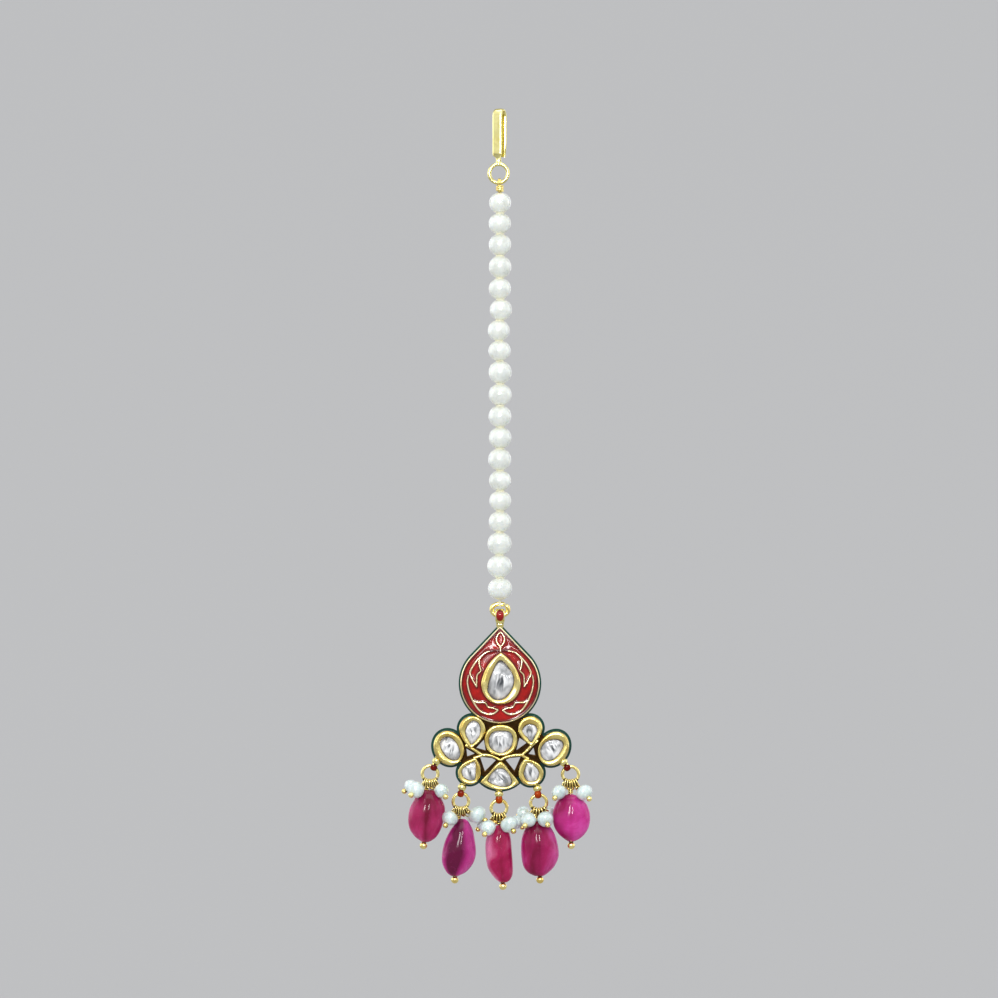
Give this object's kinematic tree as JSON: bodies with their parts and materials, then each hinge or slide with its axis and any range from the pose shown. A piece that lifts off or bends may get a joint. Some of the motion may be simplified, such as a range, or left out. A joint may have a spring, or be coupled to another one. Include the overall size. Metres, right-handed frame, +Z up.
{
  "type": "maang tikka",
  "caption": "Forehead pendant on a pearl string with a hair hook: an enamelled teardrop over an openwork cluster of foil-backed stones, hung with ruby and seed-pearl drops.",
  "frame": {"origin": "inside top of the hair hook's bend, where the hair carries it", "axes": "+Z up along the hanging string, -Y the face that is seen, +X to the right of that face"},
  "size_m": [0.0342, 0.0075, 0.1419],
  "materials": {
    "gold": "polished high-carat gold over silver, warm yellow, softly hammered at the collars",
    "silk": "twisted cream silk",
    "pearl": "ivory-white nacre with a soft lustre, warmer round the drill holes",
    "seed_pearl": "slightly uneven, cool white nacre",
    "red_enamel": "glossy translucent deep red enamel",
    "orange_enamel": "glossy orange-red enamel",
    "green_enamel": "glossy dark green enamel, with a thin gold edge line",
    "polki_stone": "flat uncut clear stone over silver foil, with soft grey streaks",
    "ruby": "polished tumbled ruby, deep pink, translucent, with faint veils"
  },
  "bodies": {
    "hook": {"hair_hook": "gold"},
    "strand": {"string_top_loop": "gold", "string_silk": "silk", "pearl_01": "pearl", "pearl_02": "pearl", "pearl_03": "pearl", "pearl_04": "pearl", "pearl_05": "pearl", "pearl_06": "pearl", "pearl_07": "pearl", "pearl_08": "pearl", "pearl_09": "pearl", "pearl_10": "pearl", "pearl_11": "pearl", "pearl_12": "pearl", "pearl_13": "pearl", "pearl_14": "pearl", "pearl_15": "pearl", "pearl_16": "pearl", "pearl_17": "pearl", "pearl_18": "pearl", "pearl_19": "pearl", "string_end_ring": "gold"},
    "pendant": {"pendant_frame": "gold", "red_enamel": "red_enamel", "green_enamel_back": "green_enamel", "bail_enamel": "red_enamel", "lug_enamels": "orange_enamel", "stone_teardrop": "polki_stone", "stone_centre": "polki_stone", "stone_upper_left": "polki_stone", "stone_upper_right": "polki_stone", "stone_outer_left": "polki_stone", "stone_outer_right": "polki_stone", "stone_lower_left": "polki_stone", "stone_lower_right": "polki_stone", "stone_fan": "polki_stone", "drop_1_ring": "gold", "drop_1_pins": "gold", "drop_1_ruby": "ruby", "drop_1_seed_pearls": "seed_pearl", "drop_2_ring": "gold", "drop_2_pins": "gold", "drop_2_ruby": "ruby", "drop_2_seed_pearls": "seed_pearl", "drop_3_ring": "gold", "drop_3_pins": "gold", "drop_3_ruby": "ruby", "drop_3_seed_pearls": "seed_pearl", "drop_4_ring": "gold", "drop_4_pins": "gold", "drop_4_ruby": "ruby", "drop_4_seed_pearls": "seed_pearl", "drop_5_ring": "gold", "drop_5_pins": "gold", "drop_5_ruby": "ruby", "drop_5_seed_pearls": "seed_pearl"}
  },
  "joints": [
    {"name": "strand_swing", "type": "hinge", "parent": "hook", "child": "strand", "pos_m": [-0.00025, 0, -0.01296], "axis": [1, 0, 0], "range_deg": [-110, 110]},
    {"name": "pendant_swing", "type": "hinge", "parent": "strand", "child": "pendant", "pos_m": [0, 0, -0.0916], "axis": [1, 0, 0], "range_deg": [-120, 120]}
  ]
}
